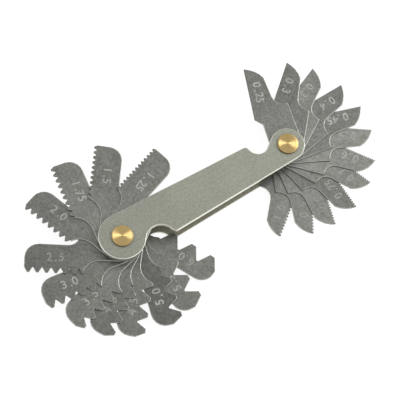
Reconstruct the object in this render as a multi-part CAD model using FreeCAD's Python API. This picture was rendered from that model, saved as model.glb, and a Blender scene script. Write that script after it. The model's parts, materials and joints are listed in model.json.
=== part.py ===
"""Metric thread pitch gauge: two stacks of toothed leaves that fan out of one flat case.

A wide stack of twelve coarse leaves (1.25 to 6 mm) turns on one rivet, and a narrow stack of twelve
fine leaves (0.25 to 1 mm) turns on the other. Two flat cover plates, open along both long sides,
hold the stacks between them.

Frame: millimetres. The origin is on the coarse rivet's axis, in the plane that the gauge rests on.
+X runs to the fine rivet and +Z up, out of the front cover. The leaves are drawn fanned out.
"""
import FreeCAD, Part
import math
import os

# ---- case ----
pivot_spacing = 54.7        # coarse rivet axis to fine rivet axis
coarse_end_radius = 6.6     # cover's round end at the coarse rivet
fine_end_radius = 4.9       # cover's round end at the fine rivet
cover_thickness = 1.0
cover_edge_break = 0.2      # bevel round a cover's outer face

# ---- thumb notches, one beside each rivet, on opposite sides of the case ----
coarse_notch_radius = 4.2
coarse_notch_depth = 4.35   # in from the cover's straight side
coarse_notch_gap = 0.05     # between the notch's circle and the round end's circle
fine_notch_radius = 3.1
fine_notch_depth = 3.83
fine_notch_gap = 0.57
notch_lip_radius = 1.2      # where the notch leaves the straight side

# ---- rivets ----
rivet_shank_radius = 1.5
rivet_head_radius = 3.0
front_head_height = 0.55
front_head_rise = 0.12      # rise of the turned face above the head's rim
front_face_radius = 1.9     # flat middle of the turned face
rear_head_height = 0.5
rivet_edge_break = 0.15

# ---- stack ----
leaf_thickness = 0.36
leaf_gap = 0.04             # oil gap over, under and between the leaves
running_clearance = 0.05    # leaf hole over rivet shank, on the radius
hub_inset = 0.2             # leaf hub inside the cover's round end, on the radius
leaf_curve_sag = 0.05       # the leaves' curves are cut in flats, which leave them by this at most

# ---- tooth form: 60 degree thread flanks with flattened crests ----
flank_angle = 60.0          # included angle of a groove
coarse_crest_share = 0.25   # crest flat, in pitches
coarse_root_share = 0.08    # root flat, in pitches
fine_crest_share = 0.33     # the fine grooves run down to a sharp root

# ---- coarse leaf blank; "over" is above its long line through the pivot ----
coarse_leaf_length = 26.2   # pivot axis to the blade's end
coarse_crest_over = 10.5    # tooth crests
coarse_back_over = 2.3      # plain back edge
coarse_neck_radius = 5.0    # hollow between the hub and the teeth
coarse_neck_reach = 5.4     # pivot axis to where that hollow starts
coarse_tip_radius = 3.9
coarse_shoulder_reach = 11.4
coarse_shoulder_radius = 3.0
coarse_hub_flare = 17.0     # degrees that the hub's back edge leans from the long line

# ---- fine leaf blank ----
fine_leaf_length = 24.7
fine_crest_over = 7.55
fine_step_reach = 8.95      # pivot axis to the first tooth crest
fine_step_lean = 50.0       # degrees that the step up to the teeth leans
fine_neck_flare = 5.6       # degrees that the hub's front edge leans
fine_tip_radius = 7.5
fine_back_reach = 21.2      # pivot axis to the corner between tip and back edge
fine_back_over = 2.15       # that corner above the long line
fine_back_lean = 10.3       # degrees that the back edge leans
fine_back_corner_radius = 0.8
fine_shoulder_reach = 12.7
fine_shoulder_radius = 3.0
fine_hub_flare = 8.4

# ---- leaves from the front cover down: (pitch, degrees from +X at which the leaf points) ----
coarse_leaves = [
    (1.25, 18), (1.5, 52), (1.75, 81), (2.0, 109), (2.5, 147), (3.0, 172.5),
    (3.5, 194), (4.0, 211.5), (4.5, 229.5), (5.0, 254), (5.5, 271.5), (6.0, 297),
]
fine_leaves = [
    (0.25, 68.5), (0.3, 39.5), (0.35, 22.5), (0.4, 1.5), (0.45, -17), (0.5, -34),
    (0.6, -54.5), (0.7, -69.5), (0.75, -88.5), (0.8, -106.5), (0.9, -122), (1.0, -143),
]

# ---- worked out ----
Z = FreeCAD.Vector(0, 0, 1)
stack_height = len(coarse_leaves) * (leaf_thickness + leaf_gap) + leaf_gap
rear_cover_bottom = rear_head_height
rear_cover_top = rear_cover_bottom + cover_thickness
front_cover_bottom = rear_cover_top + stack_height
front_cover_top = front_cover_bottom + cover_thickness
coarse_hub_radius = coarse_end_radius - hub_inset
fine_hub_radius = fine_end_radius - hub_inset
half_flank = math.radians(flank_angle / 2)


def at(x, y, z=0.0):
    return FreeCAD.Vector(x, y, z)


def polar(radius, degrees, centre=FreeCAD.Vector(0, 0, 0)):
    """The point that lies radius from centre, in the direction given in degrees from +X."""
    angle = math.radians(degrees)
    return centre + at(radius * math.cos(angle), radius * math.sin(angle))


def line(start, end):
    return Part.LineSegment(start, end).toShape()


def arc(start, middle, end):
    return Part.Arc(start, middle, end).toShape()


def flats(start, middle, end):
    """An arc of a leaf's outline as a chain of equal flats, since two dozen leaves repeat it."""
    curve = arc(start, middle, end)
    radius = curve.Curve.Radius
    half_flat = math.acos(1 - leaf_curve_sag / radius)
    points = curve.discretize(math.ceil(curve.Length / radius / half_flat / 2) + 1)
    return [line(a, b) for a, b in zip(points, points[1:])]


def polygon(corners):
    return Part.Face(Part.makePolygon(corners + corners[:1]))


def plate(edges, thickness):
    """A flat plate from a closed outline in the XY plane."""
    face = Part.Face(Part.Wire(Part.sortEdges(edges)[0]))
    return face.extrude(Z * thickness)


def cylinder(radius, height, centre):
    return Part.makeCylinder(radius, height, centre, Z)


# ---------------------------------------------------------------- case

def side_lean():
    """Degrees by which each long side of a cover leans in towards the fine end."""
    return math.degrees(math.asin((coarse_end_radius - fine_end_radius) / pivot_spacing))


def notch_outline(end_radius, notch_radius, depth, gap):
    """A thumb notch and the blends beside it, from the straight side back to the round end.

    Drawn with the rivet at the origin, the straight side along +X at y = end_radius and the notch
    opening to +Y. The lip touches the side and the notch. The last line touches the notch and the
    round end, so that the one runs smoothly into the other.
    """
    lip = notch_lip_radius
    spacing = end_radius + notch_radius + gap
    centre_y = end_radius - depth + notch_radius
    centre = at(math.sqrt(spacing ** 2 - centre_y ** 2), centre_y)
    lip_y = end_radius - lip
    lip_centre = at(centre.x + math.sqrt((notch_radius + lip) ** 2 - (lip_y - centre_y) ** 2), lip_y)
    to_lip = math.degrees(math.atan2(lip_y - centre_y, lip_centre.x - centre.x))
    bearing = math.degrees(math.atan2(centre_y, centre.x))
    blend = bearing + math.degrees(math.acos((end_radius + notch_radius) / spacing))
    notch_middle = (blend + 180 + to_lip + 360) / 2
    lip_middle = (to_lip + 180 + 90) / 2
    lip_start = polar(lip, to_lip + 180, lip_centre)
    blend_start = polar(notch_radius, blend + 180, centre)
    return [
        arc(polar(lip, 90, lip_centre), polar(lip, lip_middle, lip_centre), lip_start),
        arc(lip_start, polar(notch_radius, notch_middle, centre), blend_start),
        line(blend_start, polar(end_radius, blend)),
    ]


def side_with_notch(end_radius, notch_radius, depth, gap, lean, beside_fine_rivet):
    """The notch's edges where they belong in the case, on the -Y side or, at the fine end, on +Y."""
    wire = Part.Wire(notch_outline(end_radius, notch_radius, depth, gap))
    wire.rotate(at(0, 0), Z, lean)
    if beside_fine_rivet:
        return wire.mirror(at(0, 0), at(1, 0)).translated(at(pivot_spacing, 0))
    return wire.mirror(at(0, 0), at(0, 1))


def wire_ends(wire):
    """The wire's first and last point, in the order in which it was drawn."""
    return wire.OrderedVertexes[0].Point, wire.OrderedVertexes[-1].Point


def cover_outline():
    """Two round ends joined by straight sides, with a thumb notch in each side."""
    lean = side_lean()
    coarse_notch = side_with_notch(
        coarse_end_radius, coarse_notch_radius, coarse_notch_depth, coarse_notch_gap, -lean, False)
    fine_notch = side_with_notch(
        fine_end_radius, fine_notch_radius, fine_notch_depth, fine_notch_gap, lean, True)
    fine_pivot = at(pivot_spacing, 0)
    coarse_side, coarse_end = wire_ends(coarse_notch)
    fine_side, fine_end = wire_ends(fine_notch)
    coarse_touch = polar(coarse_end_radius, 90 - lean)
    fine_touch = polar(fine_end_radius, lean - 90, fine_pivot)
    return coarse_notch.Edges + fine_notch.Edges + [
        line(coarse_touch, fine_side),
        arc(fine_end, polar(fine_end_radius, 0, fine_pivot), fine_touch),
        line(fine_touch, coarse_side),
        arc(coarse_end, polar(coarse_end_radius, 180), coarse_touch),
    ]


def cover(outer_face_up):
    """One cover plate at z = 0, its outer face beveled and turned up or down."""
    body = plate(cover_outline(), cover_thickness)
    outer_z = cover_thickness if outer_face_up else 0.0
    rim = [e for e in body.Edges if all(abs(v.Z - outer_z) < 1e-6 for v in e.Vertexes)]
    body = body.makeChamfer(cover_edge_break, rim)
    for x in (0.0, pivot_spacing):
        body = body.cut(cylinder(rivet_shank_radius, cover_thickness, at(x, 0)))
    return body


def front_cover():
    return cover(outer_face_up=True).translated(at(0, 0, front_cover_bottom))


def rear_cover():
    return cover(outer_face_up=False).translated(at(0, 0, rear_cover_bottom))


def rivet(x):
    """A rivet turned about its own axis: shank, flat rear head, and front head with a raised face."""
    rim_z = front_cover_top + front_head_height
    rim_radius = rivet_head_radius - rivet_edge_break
    profile = [
        (0, rim_z + front_head_rise),
        (front_face_radius, rim_z + front_head_rise),
        (rim_radius, rim_z),
        (rivet_head_radius, rim_z - rivet_edge_break),
        (rivet_head_radius, front_cover_top),
        (rivet_shank_radius, front_cover_top),
        (rivet_shank_radius, rear_head_height),
        (rivet_head_radius, rear_head_height),
        (rivet_head_radius, rivet_edge_break),
        (rim_radius, 0),
        (0, 0),
    ]
    return polygon([at(x + radius, 0, z) for radius, z in profile]).revolve(at(x, 0), Z, 360)


# ---------------------------------------------------------------- leaves
# A leaf is drawn pointing along +X with its pivot at the origin and its teeth on the +Y side.

def tangent_height(radius, lean, x):
    """Height at x of the line that touches the hub circle and rises by lean degrees along +X."""
    return radius / math.cos(math.radians(lean)) + x * math.tan(math.radians(lean))


def coarse_blank():
    """Blade with a rounded end, hollow neck in front of the hub and a shoulder behind it."""
    hub = coarse_hub_radius
    end = coarse_leaf_length
    crest = coarse_crest_over
    back = coarse_back_over
    tip = coarse_tip_radius
    shoulder = coarse_shoulder_reach
    neck_centre = at(coarse_neck_reach, hub + coarse_neck_radius)
    neck_rise = math.asin((neck_centre.y - crest) / coarse_neck_radius)
    neck_top = polar(coarse_neck_radius, -math.degrees(neck_rise), neck_centre)
    tip_centre = at(end - tip, back + tip)
    return hub_outline(hub, 0.0, coarse_hub_flare, shoulder, neck_foot=at(neck_centre.x, hub)) + [
        *flats(at(neck_centre.x, hub), polar(coarse_neck_radius, -50, neck_centre), neck_top),
        line(neck_top, at(end, crest)),
        line(at(end, crest), at(end, tip_centre.y)),
        *flats(at(end, tip_centre.y), polar(tip, -45, tip_centre), at(tip_centre.x, back)),
    ] + shoulder_outline(
        at(tip_centre.x, back), 0.0, shoulder, coarse_shoulder_radius, hub, coarse_hub_flare)


def fine_blank():
    """Pointed blade with a straight step up to the teeth and a shoulder behind the hub."""
    hub = fine_hub_radius
    tip = at(fine_leaf_length, fine_crest_over)
    step_top = at(fine_step_reach, fine_crest_over)
    lean = math.tan(math.radians(fine_step_lean))
    flare = math.tan(math.radians(fine_neck_flare))
    hub_height = tangent_height(hub, fine_neck_flare, 0)
    foot_x = (step_top.y - lean * step_top.x - hub_height) / (flare - lean)
    step_foot = at(foot_x, hub_height + flare * foot_x)
    tip_middle, tip_end, corner_middle, corner_end = fine_tip_points(tip)
    return hub_outline(hub, fine_neck_flare, fine_hub_flare, fine_shoulder_reach, neck_foot=step_foot) + [
        line(step_foot, step_top),
        line(step_top, tip),
        *flats(tip, tip_middle, tip_end),
        *flats(tip_end, corner_middle, corner_end),
    ] + shoulder_outline(
        corner_end, fine_back_lean, fine_shoulder_reach, fine_shoulder_radius,
        hub, fine_hub_flare)


def fine_tip_points(tip):
    """The rest of a pointed tip: its curve's middle and end, then the middle and end of the rounded
    corner, whose circle lies inside the tip's circle and touches both that and the back edge."""
    corner = at(fine_back_reach, fine_back_over)
    chord = corner - tip
    half = chord.Length / 2
    inward = at(chord.y, -chord.x).normalize()
    centre = (tip + corner) * 0.5 + inward * math.sqrt(fine_tip_radius ** 2 - half ** 2)
    rounding = fine_back_corner_radius
    along = polar(1, 180 - fine_back_lean)
    square = polar(1, 90 - fine_back_lean)
    offset = corner + square * rounding - centre
    middle = offset.dot(along)
    reach = math.sqrt(middle ** 2 - offset.dot(offset) + (fine_tip_radius - rounding) ** 2)
    rounding_centre = centre + offset + along * (-middle - reach)
    outward = (rounding_centre - centre).normalize()
    tip_end = centre + outward * fine_tip_radius
    tip_middle = centre + (tip + tip_end - centre * 2).normalize() * fine_tip_radius
    corner_end = rounding_centre - square * rounding
    corner_middle = rounding_centre + (outward - square).normalize() * rounding
    return tip_middle, tip_end, corner_middle, corner_end


def hub_outline(hub, front_flare, back_flare, shoulder_reach, neck_foot):
    """The round hub, from the shoulder's corner behind it to the foot of the neck in front."""
    front_touch = polar(hub, 90 + front_flare)
    back_touch = polar(hub, -90 + back_flare)
    corner = at(shoulder_reach, -tangent_height(hub, -back_flare, shoulder_reach))
    return [
        line(corner, back_touch),
        *flats(back_touch, at(-hub, 0), front_touch),
        line(front_touch, neck_foot),
    ]


def shoulder_outline(start, lean, reach, radius, hub, back_flare):
    """The back edge from start, and the hollow that turns it down to the shoulder's corner."""
    slope = math.tan(math.radians(lean))
    centre_x = reach + radius
    touch_y = start.y - (start.x - centre_x) * slope
    centre = at(centre_x, touch_y - radius / math.cos(math.radians(lean)))
    hollow_start = polar(radius, 90 + lean, centre)
    corner = at(reach, -tangent_height(hub, -back_flare, reach))
    return [
        line(start, hollow_start),
        *flats(hollow_start, polar(radius, 135 + lean / 2, centre), polar(radius, 180, centre)),
        line(polar(radius, 180, centre), corner),
    ]


def tooth_depth(pitch, crest_share, root_share):
    return pitch * (1 - crest_share - root_share) / 2 / math.tan(half_flank)


def groove(root_width, depth, root_x, crest_over):
    """One thread groove that stands a little proud of the crests, for cutting."""
    proud = depth * 0.1
    root = root_width / 2
    mouth = root + (depth + proud) * math.tan(half_flank)
    corners = [
        at(root_x - mouth, crest_over + proud),
        at(root_x - root, crest_over - depth),
        at(root_x + root, crest_over - depth),
        at(root_x + mouth, crest_over + proud),
    ]
    if root_width == 0:
        corners.pop(1)
    return polygon(corners).extrude(Z * leaf_thickness)


def rivet_hole():
    """The hole in flats that touch the running clearance's circle, so that it stays round enough."""
    bore = rivet_shank_radius + running_clearance
    count = math.ceil(math.pi / math.acos(bore / (bore + leaf_curve_sag)))
    corner = bore / math.cos(math.pi / count)
    return polygon([polar(corner, 360 * n / count) for n in range(count)]).extrude(Z * leaf_thickness)


def toothed_leaf(blank, pitch, length, crest_over, innermost_root, crest_share, root_share):
    """Cut the grooves from the blade's end, which is the outermost tooth's flank, back to the hub."""
    depth = tooth_depth(pitch, crest_share, root_share)
    root_width = pitch * root_share
    end_root = length + root_width / 2
    count = int((end_root - innermost_root) / pitch) + 1
    grooves = [groove(root_width, depth, end_root - n * pitch, crest_over) for n in range(count)]
    return plate(blank, leaf_thickness).cut(Part.makeCompound(grooves + [rivet_hole()]))


def coarse_leaf(pitch):
    """The grooves run on into the hollow neck for as long as their roots are below its surface."""
    crest_share = coarse_crest_share
    root_share = coarse_root_share
    root_over = coarse_crest_over - tooth_depth(pitch, crest_share, root_share)
    neck_centre_over = coarse_hub_radius + coarse_neck_radius
    reach = math.sqrt(coarse_neck_radius ** 2 - (neck_centre_over - root_over) ** 2)
    return toothed_leaf(
        coarse_blank(), pitch, coarse_leaf_length, coarse_crest_over,
        coarse_neck_reach + reach, crest_share, root_share)


def fine_leaf(pitch):
    """The grooves stop a full crest short of the step in front of the hub."""
    return toothed_leaf(
        fine_blank(), pitch, fine_leaf_length, fine_crest_over,
        fine_step_reach + pitch / 2, fine_crest_share, 0)


def stacked(leaf, place, pointing, pivot_x):
    """Turn a leaf to where it points and put it in its place in the stack, 0 under the front cover."""
    top = front_cover_bottom - leaf_gap - place * (leaf_thickness + leaf_gap)
    leaf.rotate(at(0, 0), Z, pointing)
    leaf.translate(at(pivot_x, 0, top - leaf_thickness))
    return leaf


def leaf_name(pitch):
    return "leaf_{}_mm".format(str(pitch).replace(".", "_"))


# ---------------------------------------------------------------- build

def build():
    parts = {
        "front_cover": front_cover(),
        "rear_cover": rear_cover(),
        "coarse_rivet": rivet(0.0),
        "fine_rivet": rivet(pivot_spacing),
    }
    for place, (pitch, pointing) in enumerate(coarse_leaves):
        parts[leaf_name(pitch)] = stacked(coarse_leaf(pitch), place, pointing, 0.0)
    for place, (pitch, pointing) in enumerate(fine_leaves):
        parts[leaf_name(pitch)] = stacked(fine_leaf(pitch), place, pointing, pivot_spacing)
    return parts


os.makedirs("parts", exist_ok=True)
for name, shape in build().items():
    shape.exportStep("parts/{}.step".format(name))
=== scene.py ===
import json
import math

import bmesh
import bpy
import numpy as np
from mathutils import Matrix, Vector


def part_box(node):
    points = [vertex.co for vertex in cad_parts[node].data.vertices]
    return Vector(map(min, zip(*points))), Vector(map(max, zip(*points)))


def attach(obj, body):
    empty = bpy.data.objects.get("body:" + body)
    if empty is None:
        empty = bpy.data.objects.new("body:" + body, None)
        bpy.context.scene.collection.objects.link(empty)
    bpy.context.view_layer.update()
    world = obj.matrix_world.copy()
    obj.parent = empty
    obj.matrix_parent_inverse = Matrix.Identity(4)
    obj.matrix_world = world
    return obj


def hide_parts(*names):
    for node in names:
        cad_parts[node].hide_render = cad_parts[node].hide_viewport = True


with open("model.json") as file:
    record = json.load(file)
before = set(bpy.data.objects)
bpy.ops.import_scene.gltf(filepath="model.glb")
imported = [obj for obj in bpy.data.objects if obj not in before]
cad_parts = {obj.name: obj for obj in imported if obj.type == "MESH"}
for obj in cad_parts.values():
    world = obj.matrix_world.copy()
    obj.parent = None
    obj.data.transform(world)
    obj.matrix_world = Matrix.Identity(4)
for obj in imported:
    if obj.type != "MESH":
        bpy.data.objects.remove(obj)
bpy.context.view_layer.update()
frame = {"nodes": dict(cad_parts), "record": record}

MM = 0.001

# ---- camera, as a bearing round the gauge ----
CAMERA_LENS = 169.43            # on a 36 mm sensor
CAMERA_AZIMUTH = -140.323       # degrees, of the way from the gauge to the camera
CAMERA_ELEVATION = 67.990
CAMERA_ROLL = 19.003
CAMERA_DISTANCE = 0.518352
CAMERA_AIM = (0.024139, -0.001795)      # on the front cover's face

# ---- colours, as linear red, green and blue ----
COVER_FACE = (0.238, 0.242, 0.204)
# inner faces between the covers: lighter, painted light for light scattered into the gap
COVER_INNER_FACE_PAINTED_LIGHT = (0.330, 0.322, 0.255)
# the cover's broken edges and side walls: a painted highlight, partly wear
COVER_EDGE_HIGHLIGHT = (0.60, 0.595, 0.53, 1.0)
LEAF_FACE = (0.155, 0.157, 0.144)
LEAF_STAIN = (0.140, 0.136, 0.112)
# rolled leaf edges: a painted highlight, partly wear
LEAF_EDGE_HIGHLIGHT = (0.36, 0.36, 0.33, 1.0)
# upright side walls of a leaf: painted shade
LEAF_WALL_SHADE = (0.070, 0.068, 0.056, 1.0)
MARK_FACE = (0.300, 0.305, 0.283)
BRASS_FACE = (0.400, 0.288, 0.122)
# a rivet's sides and rounded rims: painted shade
BRASS_SIDE_SHADE = (0.270, 0.205, 0.095)

# ---- covers ----
COVER_BREAK = 0.07 * MM         # broken edges, beside the solid's own bevel
COVER_WELD = 0.002 * MM
COVER_GRAIN_DEPTH = 0.002 * MM
RIVET_RING_REACH = (2.9 * MM, 4.0 * MM)      # from a rivet's axis, where the darker ring fades and where it ends
# how much darker the cover is in a ring round each rivet's head
RIVET_RING_DARKENING = 0.86

# ---- leaves ----
COARSE_FOLDED = -21.0           # degrees from +X at which a folded coarse leaf points
FINE_FOLDED = -195.0
HOLE_REACH = 1.75 * MM          # no edge nearer the pivot than this is rolled
ROLL_WIDTH = 0.30 * MM          # rounded upper edge of a stamped leaf
ROLL_DROP = 0.18 * MM
ROLL_STEPS = 4
TOOTH_ROLL_SHARE = 0.16         # of the shorter edge beside a sharp corner
HUB_BRIGHT_REACH = (6.0 * MM, 17.0 * MM)   # from the pivot, where a leaf is still a little brighter
# how much brighter a leaf is towards its hub
HUB_BRIGHTENING = 1.12
GRIT_DEPTH = 0.004 * MM
PATTERN_STEP = 40 * MM          # from one leaf's pattern to the next leaf's
# each leaf's tone: partly its steel's own, partly painted light for leaves that lie a little tilted
COARSE_TONE_AND_TILT_LIGHT = (1.00, 0.97, 1.06, 0.92, 0.85, 0.92, 1.03, 0.90, 0.92, 0.70, 0.95, 1.02)
FINE_TONE_AND_TILT_LIGHT = (0.90, 0.86, 1.04, 0.90, 0.90, 1.12, 1.14, 1.08, 0.90, 1.14, 1.06, 1.04)
# The tones and the depths below go from a stack's top leaf down.

# ---- struck numbers ----
DIGIT_SIZE = 3.3 * MM
DIGIT_WEIGHT = 0.016            # strokes grow by this share of the size
DIGIT_REACH = 19.45 * MM        # from the pivot, the middle of the first digit
DIGIT_PITCH = 1.64 * MM
DOT_PITCH = 0.44 * MM
COARSE_DIGIT_OVER = 5.8 * MM    # middle of the digits above the leaf's long line
FINE_DIGIT_OVER = 5.0 * MM
DIGIT_RISE = 0.006 * MM
NUMBER_SLIP = (0.25 * MM, 0.35 * MM)    # of a whole number, along and across the leaf, at most
DIGIT_SLIP = 0.07 * MM                  # of one digit, as a usual amount
DIGIT_LEAN = 2.5                        # degrees, likewise
COARSE_DEPTHS = (1.00, 1.00, 1.00, 0.88, 0.80, 1.02, 0.90, 0.80, 0.92, 1.02, 0.88, 0.88)
FINE_DEPTHS = (1.00, 0.96, 0.86, 0.96, 1.00, 0.86, 0.92, 0.80, 0.78, 0.74, 0.72, 0.78)

# ---- rivets ----
SHANK_RADIUS = 1.5 * MM
HEAD_RISE = 0.12 * MM           # dome of the turned face
HEAD_ROUND = 0.16 * MM          # rounding of a head's rim
TURN_PITCH = 0.13 * MM          # tool marks of the turned face
TURN_SHARE = 0.7                # of a tool mark, its gentle flank, which faces out
TURN_LEAN = 12.0                # degrees that this flank leans
LATHE_STEPS = 96

# ---- studio ----
STUDIO_MIDDLE = (0.027, 0.0, 0.004)
SOFT_BOXES = (                  # name, azimuth, elevation, distance, width, height, radiance
    ("right_box", 3, 50, 0.6, 0.26, 0.22, 3.6),
    ("left_box", 106, 57, 0.6, 0.20, 0.20, 2.2),
    ("low_right_box", -10, 22, 0.7, 0.40, 0.38, 5.5),
    ("low_front_box", -72, 14, 0.7, 0.45, 0.20, 1.8),
    ("low_left_box", 165, 17, 0.7, 0.50, 0.22, 1.5),
)
AMBIENT = 0.5
FLOOR_REACH = 4.0               # from the middle to each side
FLOOR_PALE = (0.8, 0.8, 0.8, 1.0)
FLOOR_SHADED = (0.25, 0.25, 0.25, 1.0)  # the part of its white that a shadow can take away
FLOOR_GLOW = 0.90


# ---------------------------------------------------------------- shader nodes

def new_group(name, inputs, outputs):
    """An empty shader group with named float, colour or vector sockets."""
    group = bpy.data.node_groups.new(name, "ShaderNodeTree")
    for label, kind, value in inputs:
        socket = group.interface.new_socket(label, in_out="INPUT", socket_type="NodeSocket" + kind)
        if value is not None:
            socket.default_value = value
    for label, kind in outputs:
        group.interface.new_socket(label, in_out="OUTPUT", socket_type="NodeSocket" + kind)
    return group, group.nodes.new("NodeGroupInput"), group.nodes.new("NodeGroupOutput")


def feed(tree, socket, value):
    """Link an output to the socket, or set the socket where the value is a number or a tuple."""
    if isinstance(value, (int, float, tuple)):
        socket.default_value = value
    else:
        tree.links.new(value, socket)


def math_node(tree, operation, *values):
    node = tree.nodes.new("ShaderNodeMath")
    node.operation = operation
    for socket, value in zip(node.inputs, values):
        feed(tree, socket, value)
    return node.outputs[0]


def vector_node(tree, operation, *values):
    node = tree.nodes.new("ShaderNodeVectorMath")
    node.operation = operation
    for socket, value in zip(node.inputs, values):
        feed(tree, socket, value)
    return node.outputs["Value" if operation == "DISTANCE" else "Vector"]


def noise_node(tree, vector, scale, detail=4.0, roughness=0.6):
    node = tree.nodes.new("ShaderNodeTexNoise")
    node.inputs["Detail"].default_value = detail
    node.inputs["Roughness"].default_value = roughness
    feed(tree, node.inputs["Scale"], scale)
    feed(tree, node.inputs["Vector"], vector)
    return node.outputs["Fac"]


def range_node(tree, value, low, high, to_low=0.0, to_high=1.0, smooth=False):
    node = tree.nodes.new("ShaderNodeMapRange")
    node.interpolation_type = "SMOOTHSTEP" if smooth else "LINEAR"
    feed(tree, node.inputs["Value"], value)
    feed(tree, node.inputs["From Min"], low)
    feed(tree, node.inputs["From Max"], high)
    feed(tree, node.inputs["To Min"], to_low)
    feed(tree, node.inputs["To Max"], to_high)
    return node.outputs["Result"]


def mix_colour(tree, factor, a, b):
    node = tree.nodes.new("ShaderNodeMix")
    node.data_type = "RGBA"
    for socket, value in zip([s for s in node.inputs if s.enabled], (factor, a, b)):
        feed(tree, socket, value)
    return [s for s in node.outputs if s.enabled][0]


def scaled_colour(tree, colour, factor):
    """The colour, lighter or darker by a factor that changes over the surface."""
    node = tree.nodes.new("ShaderNodeVectorMath")
    node.operation = "SCALE"
    node.inputs[0].default_value = colour
    feed(tree, node.inputs["Scale"], factor)
    return node.outputs["Vector"]


def stretched(tree, vector, scale, turn=0.0):
    """The coordinates turned about Z by so many degrees, then stretched for a grain along X."""
    turned = tree.nodes.new("ShaderNodeMapping")
    turned.inputs["Rotation"].default_value = (0.0, 0.0, math.radians(turn))
    turned.inputs["Scale"].default_value = scale
    feed(tree, turned.inputs["Vector"], vector)
    return turned.outputs["Vector"]


def place_group(tree, group, vector, **values):
    node = tree.nodes.new("ShaderNodeGroup")
    node.node_tree = group
    feed(tree, node.inputs["Vector"], vector)
    for label, value in values.items():
        feed(tree, node.inputs[label.replace("_", " ")], value)
    return node


def add_bump(tree, shader, height, distance):
    bump = tree.nodes.new("ShaderNodeBump")
    bump.inputs["Distance"].default_value = distance
    feed(tree, bump.inputs["Height"], height)
    tree.links.new(bump.outputs["Normal"], shader.inputs["Normal"])


def edge_group():
    """Edge mask, for a painted highlight on rolled and broken edges (partly wear) and for painted
    shade on side walls: 0 where a surface faces straight up or down, 1 on rolled edges and side walls.

    The mask is the normal's tilt from upright times a noise about 1, run from 0 to Reach. Wall is 1
    on the upright side walls alone.
    """
    group, given, out = new_group(
        "edge_wear",
        [("Vector", "Vector", None), ("Reach", "Float", 0.03), ("Wear Scale", "Float", 900.0)],
        [("Mask", "Float"), ("Wall", "Float")])
    coordinates = group.nodes.new("ShaderNodeTexCoord")
    split = group.nodes.new("ShaderNodeSeparateXYZ")
    feed(group, split.inputs[0], coordinates.outputs["Normal"])
    tilt = math_node(group, "SUBTRACT", 1.0, math_node(group, "ABSOLUTE", split.outputs["Z"]))
    # a noise breaks the mask up: uneven wear, and an uneven painted highlight and shade
    wear = noise_node(group, given.outputs["Vector"], given.outputs["Wear Scale"], 3.0)
    worn = math_node(group, "MULTIPLY", tilt, math_node(group, "MULTIPLY_ADD", wear, 1.2, 0.4))
    feed(group, out.inputs["Mask"], range_node(group, worn, 0.0, given.outputs["Reach"], smooth=True))
    feed(group, out.inputs["Wall"], range_node(group, tilt, 0.75, 0.95, smooth=True))
    return group


def mottle_group():
    """Mottled metal: clouds, spots and grit, each a noise less its middle times its share.

    Shade is 1 plus their sum, for the colour. Grit is 0 to 1, for roughness and bump.
    """
    group, given, out = new_group(
        "mottled_metal",
        [("Vector", "Vector", None), ("Cloud Scale", "Float", 220.0), ("Cloud Share", "Float", 0.3),
         ("Spot Scale", "Float", 1500.0), ("Spot Share", "Float", 0.3),
         ("Grit Scale", "Float", 7000.0), ("Grit Share", "Float", 0.2)],
        [("Shade", "Float"), ("Grit", "Float")])
    total = 1.0
    for label, detail in (("Cloud", 3.0), ("Spot", 4.0), ("Grit", 2.0)):
        noise = noise_node(group, given.outputs["Vector"], given.outputs[label + " Scale"], detail)
        centred = math_node(group, "SUBTRACT", noise, 0.5)
        total = math_node(group, "MULTIPLY_ADD", centred, given.outputs[label + " Share"], total)
    feed(group, out.inputs["Shade"], total)
    feed(group, out.inputs["Grit"], noise)
    return group


def hairline_group():
    """Hairline scratches: where a noise drawn out along X passes its middle, within Width of it.

    A second, broad noise lets them show in patches only.
    """
    group, given, out = new_group(
        "hairlines",
        [("Vector", "Vector", None), ("Scale", "Float", 500.0), ("Width", "Float", 0.006)],
        [("Mask", "Float")])
    drawn_out = vector_node(group, "MULTIPLY", given.outputs["Vector"], (0.035, 1.0, 1.0))
    ridge = math_node(group, "ABSOLUTE", math_node(
        group, "SUBTRACT", noise_node(group, drawn_out, given.outputs["Scale"], 1.0), 0.5))
    line = range_node(group, ridge, 0.0, given.outputs["Width"], 1.0, 0.0)
    broad = noise_node(group, given.outputs["Vector"], 160.0, 2.0)
    patch = range_node(group, broad, 0.46, 0.60, smooth=True)
    feed(group, out.inputs["Mask"], math_node(group, "MULTIPLY", line, patch))
    return group


EDGE = edge_group()
MOTTLE = mottle_group()
HAIRLINES = hairline_group()


# ---------------------------------------------------------------- materials

def new_material(name):
    material = bpy.data.materials.new(name)
    material.use_nodes = True
    tree = material.node_tree
    shader = tree.nodes["Principled BSDF"]
    shader.inputs["Metallic"].default_value = 1.0
    return material, tree, shader


def object_place(tree):
    return tree.nodes.new("ShaderNodeTexCoord").outputs["Object"]


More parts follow.
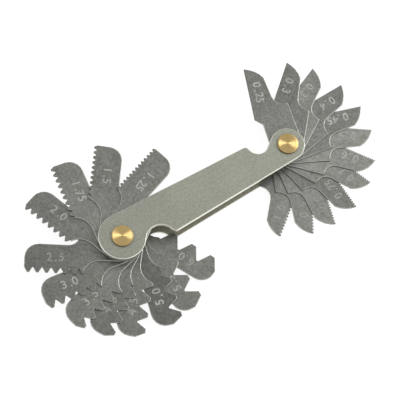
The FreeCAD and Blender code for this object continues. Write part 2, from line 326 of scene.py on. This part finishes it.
def cover_steel(rivet_axes, inner_low, inner_high):
    """Satin steel: grain along the case, hairlines, broken edges in a painted highlight that is partly
    wear, darker in a ring round each rivet's head.

    The inner faces, between the two given heights, are matt, a little olive, and lighter: painted light
    for the light scattered in between the covers.
    """
    material, tree, shader = new_material("cover_steel")
    place = object_place(tree)
    metal = place_group(tree, MOTTLE, place, Cloud_Scale=90.0, Cloud_Share=0.26, Spot_Scale=1500.0,
                        Spot_Share=0.75, Grit_Scale=5000.0, Grit_Share=0.45)
    grain = noise_node(tree, stretched(tree, place, (0.10, 1.0, 1.0)), 4200.0, 3.0)
    shade = math_node(tree, "ADD", metal.outputs["Shade"], range_node(tree, grain, 0.3, 0.7, -0.05, 0.05))
    for turn in (8.0, -24.0):
        lines = place_group(tree, HAIRLINES, stretched(tree, place, (1.0, 1.0, 1.0), turn))
        shade = math_node(tree, "MULTIPLY_ADD", lines.outputs["Mask"], 0.12, shade)
    flat = vector_node(tree, "MULTIPLY", place, (1.0, 1.0, 0.0))
    # darker in a ring round each rivet's head
    for axis_x in rivet_axes:
        reach = vector_node(tree, "DISTANCE", flat, (axis_x, 0.0, 0.0))
        ring_darkening = range_node(tree, reach, *RIVET_RING_REACH, RIVET_RING_DARKENING, 1.0, smooth=True)
        shade = math_node(tree, "MULTIPLY", shade, ring_darkening)
    edge = place_group(tree, EDGE, place, Reach=0.05)
    face = scaled_colour(tree, COVER_FACE, shade)
    # the inner faces are lighter: painted light for light scattered in between the covers
    inner_face_painted_light = scaled_colour(tree, COVER_INNER_FACE_PAINTED_LIGHT, shade)
    split = tree.nodes.new("ShaderNodeSeparateXYZ")
    feed(tree, split.inputs[0], place)
    above = math_node(tree, "GREATER_THAN", split.outputs["Z"], inner_low - 0.05 * MM)
    below = math_node(tree, "LESS_THAN", split.outputs["Z"], inner_high + 0.05 * MM)
    inside = math_node(tree, "MULTIPLY", above, below)
    either_face = mix_colour(tree, inside, face, inner_face_painted_light)
    # broken edges and side walls take a paler colour: a painted highlight, partly wear
    colour = mix_colour(tree, edge.outputs["Mask"], either_face, COVER_EDGE_HIGHLIGHT)
    feed(tree, shader.inputs["Base Color"], colour)
    satin = range_node(tree, metal.outputs["Grit"], 0.3, 0.7, 0.36, 0.48)
    feed(tree, shader.inputs["Roughness"], math_node(tree, "MULTIPLY_ADD", inside, 0.3, satin))
    add_bump(tree, shader, grain, COVER_GRAIN_DEPTH)
    return material


def leaf_steel():
    """Darker, finely mottled steel, its pattern in the leaf's own length and breadth.

    The shade is the leaf's tone, partly its own and partly painted light for how the leaf is tilted,
    times the mottling, a grain along the blade, and a little more towards the hub. Olive stains come in
    clouds. Rolled edges take a painted highlight, partly wear, and side walls painted shade.
    """
    material, tree, shader = new_material("leaf_steel")
    own = tree.nodes.new("ShaderNodeAttribute")
    own.attribute_name = "leaf_place"
    tone = tree.nodes.new("ShaderNodeAttribute")
    tone.attribute_name = "tone"
    place = own.outputs["Vector"]
    metal = place_group(tree, MOTTLE, place, Cloud_Scale=150.0, Cloud_Share=0.40, Spot_Scale=1300.0,
                        Spot_Share=1.15, Grit_Scale=4000.0, Grit_Share=0.75)
    grain = noise_node(tree, stretched(tree, place, (0.10, 1.0, 1.0)), 2400.0, 3.0)
    shade = math_node(tree, "ADD", metal.outputs["Shade"], range_node(tree, grain, 0.3, 0.7, -0.10, 0.10))
    lines = place_group(tree, HAIRLINES, stretched(tree, place, (1.0, 1.0, 1.0), 35.0), Scale=700.0)
    shade = math_node(tree, "MULTIPLY_ADD", lines.outputs["Mask"], 0.10, shade)
    split = tree.nodes.new("ShaderNodeSeparateXYZ")
    feed(tree, split.inputs[0], place)
    # a leaf is a little brighter towards its hub
    hub_brightening = range_node(tree, split.outputs["X"], *HUB_BRIGHT_REACH, HUB_BRIGHTENING, 1.0, smooth=True)
    shade = math_node(tree, "MULTIPLY", math_node(tree, "MULTIPLY", shade, hub_brightening), tone.outputs["Fac"])
    stain = range_node(tree, noise_node(tree, place, 260.0, 3.0), 0.50, 0.72, 0.0, 0.5, smooth=True)
    clean_face = scaled_colour(tree, LEAF_FACE, shade)
    olive_face = scaled_colour(tree, LEAF_STAIN, shade)
    face = mix_colour(tree, stain, clean_face, olive_face)
    edge = place_group(tree, EDGE, place, Reach=0.07)
    # rolled edges take a painted highlight, partly wear
    rolled = mix_colour(tree, edge.outputs["Mask"], face, LEAF_EDGE_HIGHLIGHT)
    # the upright side walls take painted shade
    colour = mix_colour(tree, edge.outputs["Wall"], rolled, LEAF_WALL_SHADE)
    feed(tree, shader.inputs["Base Color"], colour)
    feed(tree, shader.inputs["Roughness"], range_node(tree, metal.outputs["Grit"], 0.3, 0.7, 0.42, 0.58))
    add_bump(tree, shader, metal.outputs["Grit"], GRIT_DEPTH)
    return material


def mark_steel():
    """The struck numbers: paler and rougher than the leaf round them, each struck as deep as its
    tone says, and unevenly."""
    material, tree, shader = new_material("mark_steel")
    place = object_place(tree)
    tone = tree.nodes.new("ShaderNodeAttribute")
    tone.attribute_name = "tone"
    metal = place_group(tree, MOTTLE, place, Cloud_Scale=500.0, Cloud_Share=1.0, Spot_Scale=2200.0,
                        Spot_Share=1.1)
    shade = math_node(tree, "MULTIPLY", metal.outputs["Shade"], tone.outputs["Fac"])
    face = scaled_colour(tree, MARK_FACE, shade)
    feed(tree, shader.inputs["Base Color"], face)
    feed(tree, shader.inputs["Roughness"], range_node(tree, metal.outputs["Grit"], 0.3, 0.7, 0.5, 0.65))
    add_bump(tree, shader, metal.outputs["Grit"], GRIT_DEPTH)
    return material


def rivet_brass():
    """Turned brass with a thin, uneven tarnish, and painted shade on its sides and rounded rims."""
    material, tree, shader = new_material("rivet_brass")
    place = object_place(tree)
    metal = place_group(tree, MOTTLE, place, Cloud_Scale=420.0, Cloud_Share=0.35, Spot_Scale=2400.0,
                        Spot_Share=0.3, Grit_Share=0.15)
    face = scaled_colour(tree, BRASS_FACE, metal.outputs["Shade"])
    # painted shade for the rivet's sides and rounded rims
    side = scaled_colour(tree, BRASS_SIDE_SHADE, metal.outputs["Shade"])
    edge = place_group(tree, EDGE, place, Reach=0.9)
    feed(tree, shader.inputs["Base Color"], mix_colour(tree, edge.outputs["Mask"], face, side))
    feed(tree, shader.inputs["Roughness"], range_node(tree, metal.outputs["Grit"], 0.3, 0.7, 0.17, 0.27))
    return material


# ---------------------------------------------------------------- pieces

def new_piece(name, mesh, material, body, replaced=None):
    piece = bpy.data.objects.new(name, mesh)
    bpy.context.scene.collection.objects.link(piece)
    mesh.materials.append(material)
    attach(piece, body)
    if replaced:
        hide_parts(replaced)
    return piece


def points_of(mesh):
    places = np.empty(len(mesh.vertices) * 3)
    mesh.vertices.foreach_get("co", places)
    return places.reshape(-1, 3)


def tidied(mesh, soft=35.0):
    """Merge doubles, drop loose points, turn the faces outwards, and shade turns up to so many
    degrees smooth."""
    work = bmesh.new()
    work.from_mesh(mesh)
    bmesh.ops.delete(work, geom=[v for v in work.verts if not v.link_faces], context="VERTS")
    bmesh.ops.remove_doubles(work, verts=work.verts, dist=1e-8)
    bmesh.ops.recalc_face_normals(work, faces=work.faces)
    work.to_mesh(mesh)
    work.free()
    mesh.shade_smooth()
    mesh.set_sharp_from_angle(angle=math.radians(soft))
    return mesh


# ---------------------------------------------------------------- leaves

def triangles_of(node):
    """A CAD node's points, merged, and its triangles, as arrays."""
    mesh = frame["nodes"][node].data
    corners = np.empty(len(mesh.loops), dtype=np.int64)
    mesh.loops.foreach_get("vertex_index", corners)
    merged, index = np.unique(np.round(points_of(mesh), 8), axis=0, return_inverse=True)
    return merged, index.reshape(-1)[corners].reshape(-1, 3)


def rim_of(faces):
    """The directed edges that only one of the faces uses: their open rim, faces on its left."""
    edges = np.concatenate([faces[:, [0, 1]], faces[:, [1, 2]], faces[:, [2, 0]]])
    size = faces.max() + 1
    forward = edges[:, 0] * size + edges[:, 1]
    backward = edges[:, 1] * size + edges[:, 0]
    return edges[~np.isin(forward, backward)]


def leaf_mesh(node, pivot):
    """The leaf with its upper edge rolled over, as a stamped blank has it.

    Each point of the upper face's rim moves in along the bisector of its two edges, by the roll's
    width over the cosine of half the turn there. Rings between the wall and that rim follow a quarter
    of an ellipse: in by width times one less the cosine of the angle, and down by drop times one less
    the sine. Beside a sharp corner the width is a share of the shorter edge, so that small teeth keep
    their form. The rivet hole's edge stays square.
    """
    points, faces = triangles_of(node)
    plan, height = points[:, :2], points[:, 2]
    top_z, bottom_z = height.max(), height.min()
    top_faces = faces[np.all(height[faces] > top_z - 1e-7, axis=1)]
    bottom_faces = faces[np.all(height[faces] < bottom_z + 1e-7, axis=1)]
    rim = rim_of(top_faces)
    step = plan[rim[:, 1]] - plan[rim[:, 0]]
    length = np.linalg.norm(step, axis=1)
    inward = np.stack([-step[:, 1], step[:, 0]], axis=1) / length[:, None]
    bisector = np.zeros_like(plan)
    shortest = np.full(len(points), np.inf)
    for end in (0, 1):
        np.add.at(bisector, rim[:, end], inward)
        np.minimum.at(shortest, rim[:, end], length)
    size = np.linalg.norm(bisector, axis=1)
    cosine = np.clip(size / 2, 0.2, 1.0)
    sharp = cosine < math.cos(math.radians(12))
    width = np.where(sharp, np.minimum(ROLL_WIDTH, TOOTH_ROLL_SHARE * shortest), ROLL_WIDTH)
    width[np.linalg.norm(plan - np.array(pivot), axis=1) < HOLE_REACH] = 0.0
    shift = bisector * (width / cosine / np.maximum(size, 1e-9))[:, None]
    drop = ROLL_DROP * width / ROLL_WIDTH
    layers = [np.column_stack([plan, np.full(len(points), bottom_z)])]
    for angle in np.linspace(0, math.pi / 2, ROLL_STEPS + 1):
        layers.append(np.column_stack([plan + shift * (1 - math.cos(angle)),
                                       top_z - drop * (1 - math.sin(angle))]))
    count = len(points)
    bands = [np.column_stack([rim + level * count, rim[:, ::-1] + (level + 1) * count])
             for level in range(len(layers) - 1)]
    mesh = bpy.data.meshes.new(node + "_rolled")
    mesh.from_pydata(np.concatenate(layers).tolist(), [],
                     bottom_faces.tolist() + np.concatenate(bands).tolist()
                     + (top_faces + (len(layers) - 1) * count).tolist())
    return tidied(mesh)


def add_leaf_attributes(mesh, pivot, pointing, tone, number):
    """Each point's place along and across its own leaf, set apart from the other leaves', and a tone."""
    turn = math.radians(pointing)
    points = points_of(mesh)
    x, y = points[:, 0] - pivot[0], points[:, 1] - pivot[1]
    own = np.column_stack([x * math.cos(turn) + y * math.sin(turn),
                           y * math.cos(turn) - x * math.sin(turn),
                           points[:, 2] + PATTERN_STEP * number])
    mesh.attributes.new("leaf_place", "FLOAT_VECTOR", "POINT").data.foreach_set("vector", own.ravel())
    mesh.attributes.new("tone", "FLOAT", "POINT").data.foreach_set("value", np.full(len(points), tone))


def glyph(character):
    """One digit or a dot as points and faces, its middle at x = 0, its feet at y = 0."""
    curve = bpy.data.curves.new("glyph", "FONT")
    curve.body = character
    curve.size = DIGIT_SIZE
    curve.offset = DIGIT_WEIGHT * DIGIT_SIZE
    curve.resolution_u = 3
    curve.extrude = DIGIT_RISE
    holder = bpy.data.objects.new("glyph", curve)
    bpy.context.scene.collection.objects.link(holder)
    bpy.context.view_layer.update()
    mesh = bpy.data.meshes.new_from_object(holder.evaluated_get(bpy.context.evaluated_depsgraph_get()))
    bpy.data.objects.remove(holder)
    points = points_of(mesh)
    faces = [list(face.vertices) for face in mesh.polygons]
    points[:, 0] -= (points[:, 0].min() + points[:, 0].max()) / 2
    return points, faces


GLYPHS = {character: glyph(character) for character in "0123456789."}
DIGIT_MIDDLE = GLYPHS["0"][0][:, 1].mean()


def marking(text, pivot, pointing, over, top_z, depth, chance):
    """A number struck digit by digit, each a little off its place and turned by a degree or two.

    It reads from the tip in, with its feet to the teeth.
    """
    along = DIGIT_REACH + chance.uniform(-1, 1) * NUMBER_SLIP[0]
    over = over + chance.uniform(-1, 1) * NUMBER_SLIP[1]
    all_points, all_faces, count = [], [], 0
    for character in text:
        points, faces = GLYPHS[character]
        lean = math.radians(180 + pointing + chance.normal(0, DIGIT_LEAN))
        slip = chance.normal(0, DIGIT_SLIP, 2)
        along -= DOT_PITCH / 2 if character == "." else 0.0
        x, y = points[:, 0], points[:, 1] - DIGIT_MIDDLE
        turn = math.radians(pointing)
        centre_u, centre_w = along + slip[0], over + slip[1]
        all_points.append(np.column_stack([
            pivot[0] + centre_u * math.cos(turn) - centre_w * math.sin(turn)
            + x * math.cos(lean) - y * math.sin(lean),
            pivot[1] + centre_u * math.sin(turn) + centre_w * math.cos(turn)
            + x * math.sin(lean) + y * math.cos(lean),
            top_z + points[:, 2]]))
        all_faces += [[corner + count for corner in face] for face in faces]
        count += len(points)
        along += DOT_PITCH / 2 - DIGIT_PITCH if character == "." else -DIGIT_PITCH
    mesh = bpy.data.meshes.new("number")
    mesh.from_pydata(np.concatenate(all_points).tolist(), [], all_faces)
    mesh.attributes.new("tone", "FLOAT", "POINT").data.foreach_set("value", np.full(count, depth))
    return mesh


def build_leaves():
    steel = leaf_steel()
    marks = mark_steel()
    chance = np.random.default_rng(11)
    tones = COARSE_TONE_AND_TILT_LIGHT + FINE_TONE_AND_TILT_LIGHT
    depths = COARSE_DEPTHS + FINE_DEPTHS
    for number, joint in enumerate(frame["record"]["behaviour"]["joints"]):
        node = joint["child"]
        pivot = joint["pos_m"][:2]
        is_coarse = number < len(COARSE_TONE_AND_TILT_LIGHT)
        pointing = (COARSE_FOLDED if is_coarse else FINE_FOLDED) - joint["range_deg"][0]
        mesh = leaf_mesh(node, pivot)
        add_leaf_attributes(mesh, pivot, pointing, tones[number], number)
        leaf = new_piece(node + "_blade", mesh, steel, node, replaced=node)
        leaf.modifiers.new("face_normals", "WEIGHTED_NORMAL").keep_sharp = True
        text = node.replace("leaf_", "").replace("_mm", "").replace("_", ".")
        over = COARSE_DIGIT_OVER if is_coarse else FINE_DIGIT_OVER
        figure = marking(text, pivot, pointing, over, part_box(node)[1][2], depths[number], chance)
        new_piece(node + "_number", figure, marks, node)


# ---------------------------------------------------------------- case

def lathe(name, profile, axis_x):
    """A profile of radius and height turned about a rivet's axis, with a closed pole at each end.

    A point is the radius times the cosine and the sine of the angle, at the profile's height.
    """
    angles = np.linspace(0, 2 * math.pi, LATHE_STEPS, endpoint=False)
    radius, height = profile[1:-1, 0], profile[1:-1, 1]
    rings = np.stack([axis_x + np.outer(radius, np.cos(angles)), np.outer(radius, np.sin(angles)),
                      np.repeat(height[:, None], LATHE_STEPS, axis=1)], axis=2).reshape(-1, 3)
    poles = np.array([[axis_x, 0.0, profile[0, 1]], [axis_x, 0.0, profile[-1, 1]]])
    here = np.arange(LATHE_STEPS)
    after = (here + 1) % LATHE_STEPS
    row = (np.arange(len(radius) - 1) * LATHE_STEPS)[:, None]
    walls = np.stack([row + here, row + after, row + LATHE_STEPS + after, row + LATHE_STEPS + here],
                     axis=2).reshape(-1, 4)
    last = (len(radius) - 1) * LATHE_STEPS
    first_pole = np.full(LATHE_STEPS, len(rings))
    caps = np.concatenate([np.column_stack([here, after, first_pole]),
                           np.column_stack([last + after, last + here, first_pole + 1])])
    mesh = bpy.data.meshes.new(name)
    mesh.from_pydata(np.concatenate([rings, poles]).tolist(), [], walls.tolist() + caps.tolist())
    return tidied(mesh, soft=24.0)


def turned_face(radius, rim_z, rise):
    """From the middle out to the rounding: a dome that falls as the square of the radius, cut by
    saw-toothed tool marks, which fall gently outwards for their share of the pitch and rise again."""
    edge = radius - HEAD_ROUND
    starts = np.arange(0, edge - TURN_PITCH, TURN_PITCH)
    out = np.append(np.column_stack([starts, starts + TURN_SHARE * TURN_PITCH]).ravel(), edge)
    depth = TURN_SHARE * TURN_PITCH * math.tan(math.radians(TURN_LEAN))
    marks = np.where(np.arange(len(out)) % 2 == 1, depth, 0.0)
    return np.column_stack([out, rim_z + rise * (1 - (out / edge) ** 2) - marks])


def rounding(radius, rim_z, side_z):
    """The quarter circle between a head's face and its side, then the side itself."""
    angles = np.linspace(0, math.pi / 2, 5)[1:]
    toward = 1.0 if rim_z > side_z else -1.0
    curve = np.column_stack([radius - HEAD_ROUND * (1 - np.sin(angles)),
                             rim_z - toward * HEAD_ROUND * (1 - np.cos(angles))])
    return np.vstack([curve, [radius, side_z]])


def rivet_mesh(node):
    """Domed, turned front head, shank, and a flatter rear head."""
    low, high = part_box(node)
    radius = (high[0] - low[0]) / 2
    front_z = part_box("front_cover")[1][2]
    rear_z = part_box("rear_cover")[0][2]
    front_rim = high[2] - HEAD_RISE
    front = np.vstack([turned_face(radius, front_rim, HEAD_RISE), rounding(radius, front_rim, front_z)])
    rear_face = turned_face(radius, 0.0, 0.0)
    rear_face[:, 1] = low[2] - rear_face[:, 1]
    rear = np.vstack([rear_face, rounding(radius, low[2], rear_z)])[::-1]
    shank = [[SHANK_RADIUS, front_z], [SHANK_RADIUS, rear_z]]
    return lathe(node + "_turned", np.vstack([front, shank, rear]), (low[0] + high[0]) / 2)


def build_case():
    axes = [(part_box(node)[0][0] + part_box(node)[1][0]) / 2 for node in ("coarse_rivet", "fine_rivet")]
    steel = cover_steel(axes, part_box("rear_cover")[1][2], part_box("front_cover")[0][2])
    for node in ("front_cover", "rear_cover"):
        cover = frame["nodes"][node]
        cover.data.materials.clear()
        cover.data.materials.append(steel)
        weld = cover.modifiers.new("weld", "WELD")
        weld.merge_threshold = COVER_WELD
        bevel = cover.modifiers.new("bevel", "BEVEL")
        bevel.width = COVER_BREAK
        bevel.segments = 2
        bevel.angle_limit = math.radians(30)
        bevel.harden_normals = True
    brass = rivet_brass()
    for node in ("coarse_rivet", "fine_rivet"):
        new_piece(node + "_turned", rivet_mesh(node), brass, "case", replaced=node)


# ---------------------------------------------------------------- studio

def light(name, azimuth, elevation, distance, width, height, radiance):
    """A soft box on the given bearing from the gauge, turned to it, with this radiance."""
    data = bpy.data.lights.new(name, "AREA")
    data.shape = "RECTANGLE"
    data.size = width
    data.size_y = height
    data.energy = radiance * math.pi * width * height
    lamp = bpy.data.objects.new(name, data)
    bpy.context.scene.collection.objects.link(lamp)
    azimuth, elevation = math.radians(azimuth), math.radians(elevation)
    direction = Vector((math.cos(elevation) * math.cos(azimuth), math.cos(elevation) * math.sin(azimuth),
                        math.sin(elevation)))
    turn = direction.to_track_quat("Z", "Y").to_matrix().to_4x4()
    lamp.matrix_world = Matrix.Translation(Vector(STUDIO_MIDDLE) + direction * distance) @ turn


def sight_mask(tree):
    """1 for camera, glossy and transmission rays, which see the white, and 0 for the rest."""
    path = tree.nodes.new("ShaderNodeLightPath")
    seen = math_node(tree, "MAXIMUM", path.outputs["Is Camera Ray"], path.outputs["Is Glossy Ray"])
    return math_node(tree, "MAXIMUM", seen, path.outputs["Is Transmission Ray"])


def build_floor():
    """A pale floor. Rays that see it find most of its light its own, so that it is white, with a
    faint shadow of the gauge."""
    reach = FLOOR_REACH
    corners = [(-reach, -reach, 0), (reach, -reach, 0), (reach, reach, 0), (-reach, reach, 0)]
    mesh = bpy.data.meshes.new("floor")
    mesh.from_pydata(corners, [], [(0, 1, 2, 3)])
    floor = bpy.data.objects.new("floor", mesh)
    bpy.context.scene.collection.objects.link(floor)
    material = bpy.data.materials.new("floor")
    material.use_nodes = True
    tree = material.node_tree
    pale = tree.nodes["Principled BSDF"]
    pale.inputs["Base Color"].default_value = FLOOR_PALE
    pale.inputs["Roughness"].default_value = 0.9
    pale.inputs["Specular IOR Level"].default_value = 0.0
    shaded = tree.nodes.new("ShaderNodeBsdfDiffuse")
    shaded.inputs["Color"].default_value = FLOOR_SHADED
    glow = tree.nodes.new("ShaderNodeEmission")
    glow.inputs["Strength"].default_value = FLOOR_GLOW
    white = tree.nodes.new("ShaderNodeAddShader")
    tree.links.new(shaded.outputs[0], white.inputs[0])
    tree.links.new(glow.outputs[0], white.inputs[1])
    mix = tree.nodes.new("ShaderNodeMixShader")
    tree.links.new(sight_mask(tree), mix.inputs[0])
    tree.links.new(pale.outputs[0], mix.inputs[1])
    tree.links.new(white.outputs[0], mix.inputs[2])
    tree.links.new(mix.outputs[0], tree.nodes["Material Output"].inputs["Surface"])
    mesh.materials.append(material)


def build_world():
    """Even light all round, and white to every ray that sees it."""
    world = bpy.data.worlds.new("studio")
    bpy.context.scene.world = world
    world.use_nodes = True
    tree = world.node_tree
    ambient = tree.nodes["Background"]
    ambient.inputs["Color"].default_value = (1.0, 1.0, 1.0, 1.0)
    ambient.inputs["Strength"].default_value = AMBIENT
    white = tree.nodes.new("ShaderNodeBackground")
    white.inputs["Color"].default_value = (1.0, 1.0, 1.0, 1.0)
    mix = tree.nodes.new("ShaderNodeMixShader")
    tree.links.new(sight_mask(tree), mix.inputs[0])
    tree.links.new(ambient.outputs[0], mix.inputs[1])
    tree.links.new(white.outputs[0], mix.inputs[2])
    tree.links.new(mix.outputs[0], tree.nodes["World Output"].inputs["Surface"])


def build_studio():
    build_floor()
    build_world()
    for box in SOFT_BOXES:
        light(*box)
    bpy.context.scene.view_settings.view_transform = "Standard"


def build_camera():
    """Look at the aim point from the bearing, with the picture rolled about the line of sight."""
    azimuth = math.radians(CAMERA_AZIMUTH)
    elevation = math.radians(CAMERA_ELEVATION)
    roll = math.radians(CAMERA_ROLL)
    back = Vector((math.cos(elevation) * math.cos(azimuth), math.cos(elevation) * math.sin(azimuth),
                   math.sin(elevation)))
    level = Vector((-math.sin(azimuth), math.cos(azimuth), 0.0))
    upward = back.cross(level)
    right = math.cos(roll) * level + math.sin(roll) * upward
    up = -math.sin(roll) * level + math.cos(roll) * upward
    aim = Vector((*CAMERA_AIM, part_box("front_cover")[1][2]))
    data = bpy.data.cameras.new("camera")
    data.lens = CAMERA_LENS
    data.sensor_width = 36.0
    data.clip_start = 0.01
    camera = bpy.data.objects.new("camera", data)
    bpy.context.scene.collection.objects.link(camera)
    axes = Matrix((right, up, back)).transposed().to_4x4()
    camera.matrix_world = Matrix.Translation(aim + back * CAMERA_DISTANCE) @ axes
    bpy.context.scene.camera = camera


build_case()
build_leaves()
build_studio()
build_camera()
